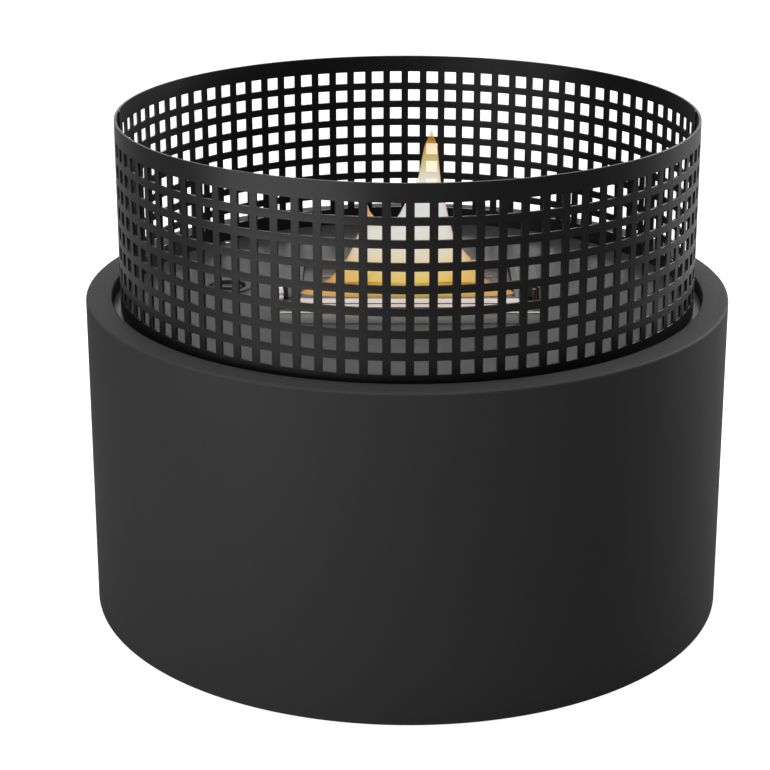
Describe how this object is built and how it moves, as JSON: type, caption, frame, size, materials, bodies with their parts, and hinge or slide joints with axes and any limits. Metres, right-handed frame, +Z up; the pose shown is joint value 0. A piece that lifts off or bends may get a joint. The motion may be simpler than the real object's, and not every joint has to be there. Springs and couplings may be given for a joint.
{
  "type": "gas fire pit",
  "caption": "Free-standing round gas fire pit: black steel drum, recessed deck with raised rectangular burner, push-and-turn knob and lift-off perforated screen.",
  "frame": {"origin": "on the floor under the drum's axis", "axes": "+Z up, +X to the right, -Y towards the front that the picture shows; the control knob is on the left"},
  "size_m": [0.7, 0.7023, 0.5466],
  "materials": {
    "drum_coat": "matte black powder coat on sheet steel",
    "deck_coat": "satin black heat-resistant paint on sheet steel",
    "screen_coat": "matte black heat-resistant paint on perforated sheet steel",
    "bracket_coat": "matte dark paint on small steel brackets",
    "stainless": "brushed stainless sheet",
    "zinc": "zinc-plated steel",
    "brass": "machined brass",
    "copper": "drawn copper tube",
    "rubber": "matte black rubber",
    "plastic": "moulded black heat-resistant plastic",
    "ceramic": "glazed white ceramic"
  },
  "bodies": {
    "base": {"base_shell": "drum_coat", "rim_ring": "drum_coat", "deck_ledge": "drum_coat", "deck_plate": "deck_coat", "deck_screw_1": "zinc", "deck_screw_2": "zinc", "deck_screw_3": "zinc", "deck_screw_4": "zinc", "floor_ring": "drum_coat", "foot_1": "rubber", "foot_2": "rubber", "foot_3": "rubber", "foot_4": "rubber", "burner_plate": "stainless", "burner_rim": "stainless", "flame_plate": "stainless", "flame_screw_1": "zinc", "flame_screw_2": "zinc", "burner_box": "stainless", "burner_leg_1": "zinc", "burner_leg_2": "zinc", "burner_leg_3": "zinc", "burner_leg_4": "zinc", "leg_screw_1": "zinc", "leg_screw_2": "zinc", "leg_screw_3": "zinc", "leg_screw_4": "zinc", "mixing_tube": "stainless", "injector": "brass", "igniter_bracket": "bracket_coat", "igniter_ceramic": "ceramic", "igniter_wire": "stainless", "igniter_lead": "rubber", "thermocouple_bracket": "bracket_coat", "thermocouple": "copper", "thermocouple_lead": "copper", "knob_cup": "deck_coat", "valve_nut": "brass", "valve_cap": "brass", "valve_body": "brass", "magnet_unit": "brass", "piezo_unit": "plastic", "burner_pipe": "copper", "supply_pipe": "copper", "side_port_nut": "brass", "rear_port_nut": "brass", "injector_nut": "brass", "inlet_pipe_nut": "brass", "inlet_bracket": "zinc", "inlet_fitting": "brass", "inlet_nut": "brass", "hose_grommet": "rubber"},
    "screen": {"screen_front": "screen_coat", "screen_rear": "screen_coat", "screen_seam_left": "screen_coat", "screen_seam_right": "screen_coat"},
    "plug": {"valve_plug": "brass"},
    "knob": {"control_knob": "plastic", "valve_stem": "stainless"}
  },
  "joints": [
    {"name": "screen_lift", "type": "slide", "parent": "base", "child": "screen", "axis": [0, 0, 1], "range_m": [0, 0.25]},
    {"name": "control_turn", "type": "hinge", "parent": "base", "child": "plug", "pos_m": [-0.201, 0.038, 0.3122], "axis": [0, 0, 1], "range_deg": [0, 180]},
    {"name": "control_push", "type": "slide", "parent": "plug", "child": "knob", "axis": [0, 0, -1], "range_m": [0, 0.004], "stiffness_N_per_m": 800, "springref_m": -0.004}
  ]
}
